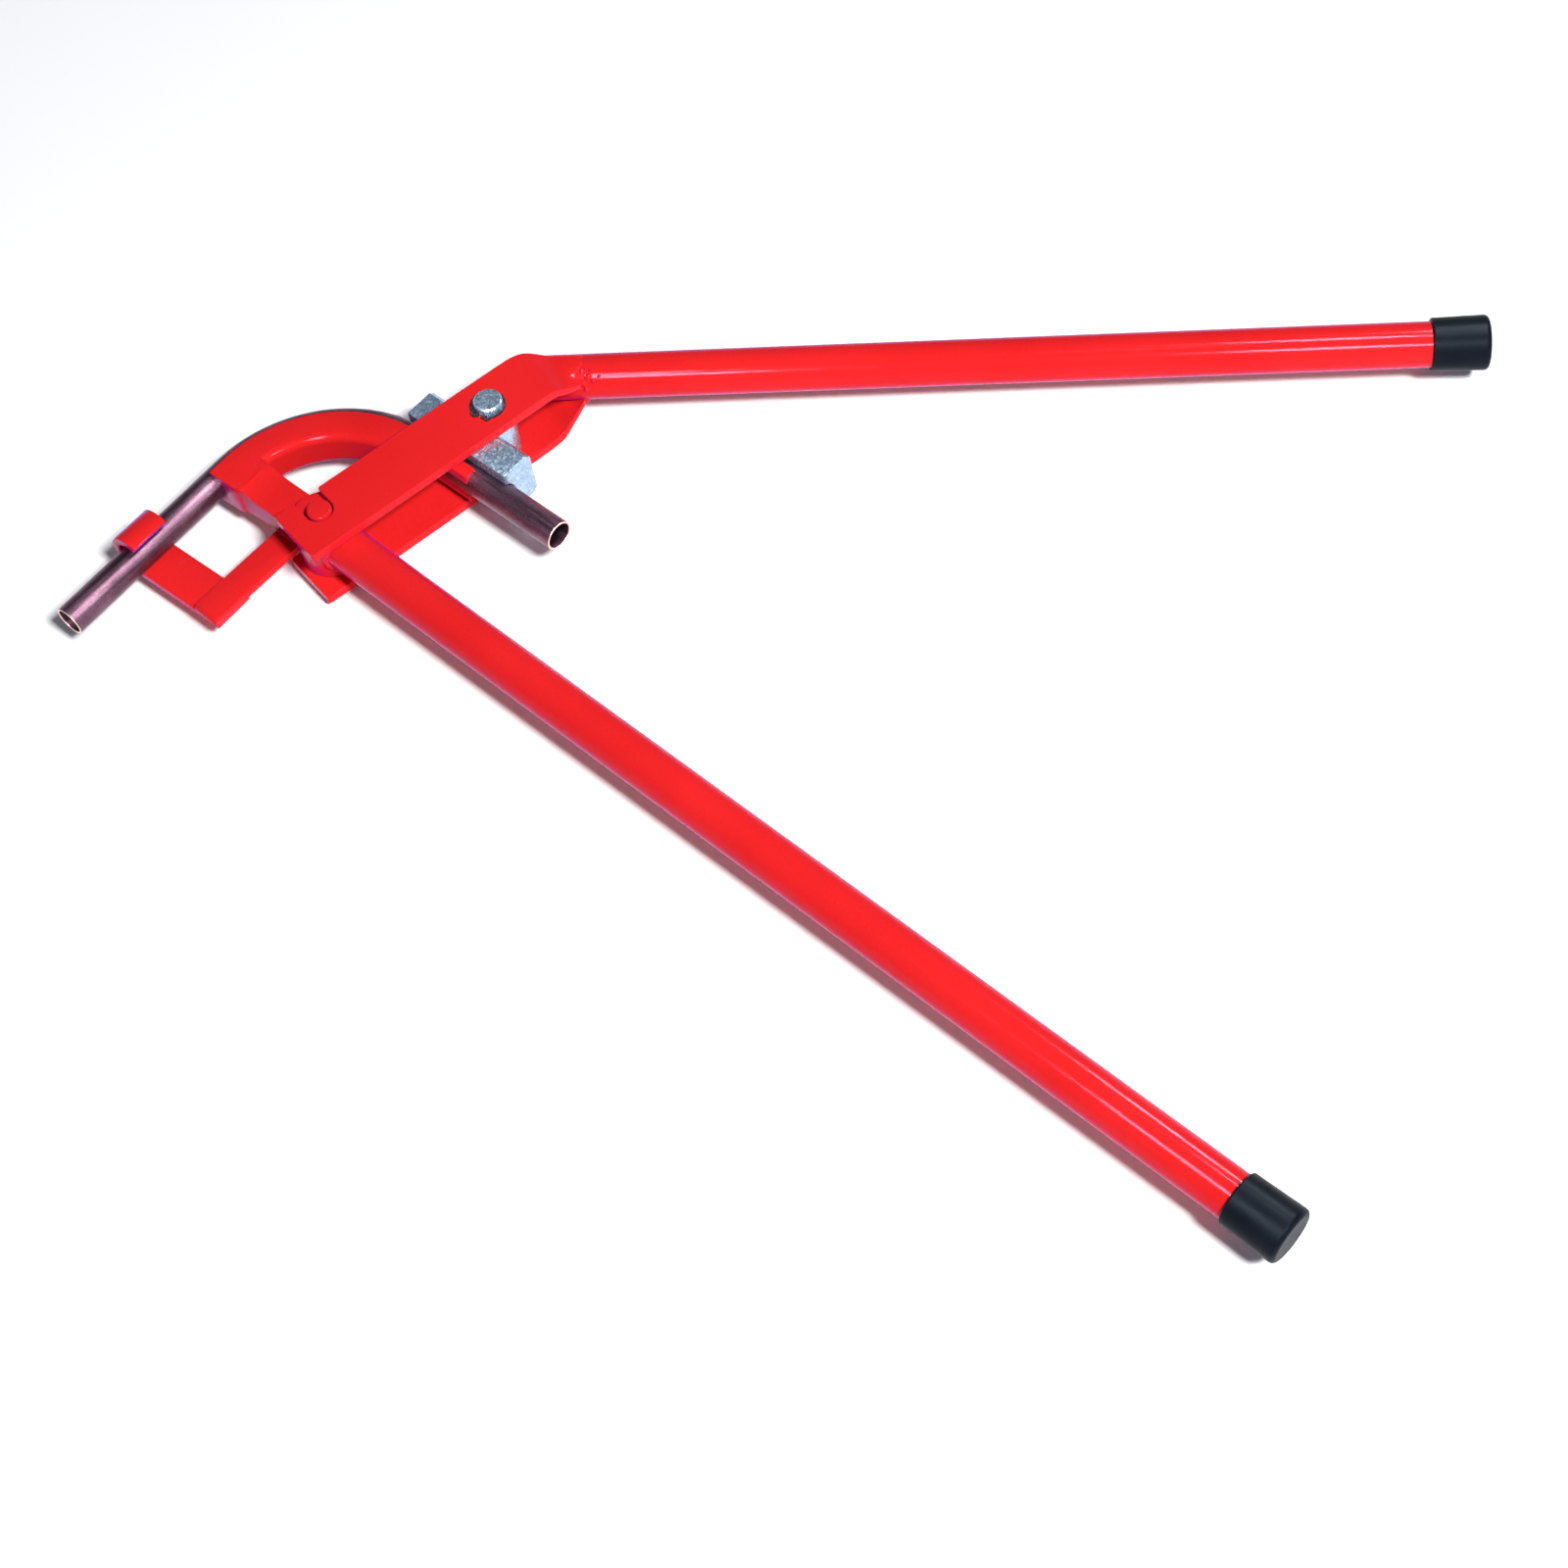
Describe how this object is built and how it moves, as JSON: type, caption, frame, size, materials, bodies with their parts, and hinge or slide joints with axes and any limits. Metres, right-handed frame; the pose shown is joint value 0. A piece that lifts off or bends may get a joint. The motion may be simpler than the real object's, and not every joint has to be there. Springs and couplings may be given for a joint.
{
  "type": "manual tube bender",
  "caption": "Hand tube bender with a grooved half-round former on a fixed handle, a hooked-on lever carrying a pressure shoe, a tube hook and a bent copper tube in place.",
  "frame": {"origin": "centre of the bend, on the pivot pin's axis and halfway up the tool", "axes": "+Z along the pivot pin, at right angles to the bending plane; +Y up the tool, away from the fixed handle; the tube's held leg points to -X"},
  "size_m": [0.5367, 0.6328, 0.046],
  "materials": {
    "red_paint": "gloss powder coat",
    "copper": "tarnished drawn copper",
    "zinc_steel": "zinc plated, mottled",
    "dark_steel": "oiled spring steel",
    "black_cap": "satin"
  },
  "bodies": {
    "frame": {"bending_former": "red_paint", "pivot_pin": "red_paint", "lower_handle_tube": "red_paint", "lower_handle_cap": "black_cap", "hook_arm_bar": "red_paint", "tube_hook": "red_paint", "copper_tube": "copper", "weld_handle_to_hub": "red_paint", "weld_bar_to_former": "red_paint", "weld_hook_to_bar": "red_paint"},
    "lever": {"lever_cheek_upper": "red_paint", "lever_cheek_lower": "red_paint", "upper_handle_tube": "red_paint", "upper_handle_cap": "black_cap", "shoe_pin": "zinc_steel", "circlip_upper": "dark_steel", "circlip_lower": "dark_steel", "weld_cheek_upper": "red_paint", "weld_cheek_lower": "red_paint"},
    "shoe": {"pressure_shoe": "zinc_steel"}
  },
  "joints": [
    {"name": "lever_pivot", "type": "hinge", "parent": "frame", "child": "lever", "pos_m": [0, 0, 0], "axis": [0, 0, 1], "range_deg": [0, 90]},
    {"name": "shoe_swivel", "type": "hinge", "parent": "lever", "child": "shoe", "pos_m": [0.0935, -0.021, 0], "axis": [0, 0, 1], "range_deg": [-13, 0]}
  ],
  "couplings": [
    {"joint": "shoe_swivel", "follows": "lever_pivot", "ratio": -0.1406}
  ]
}
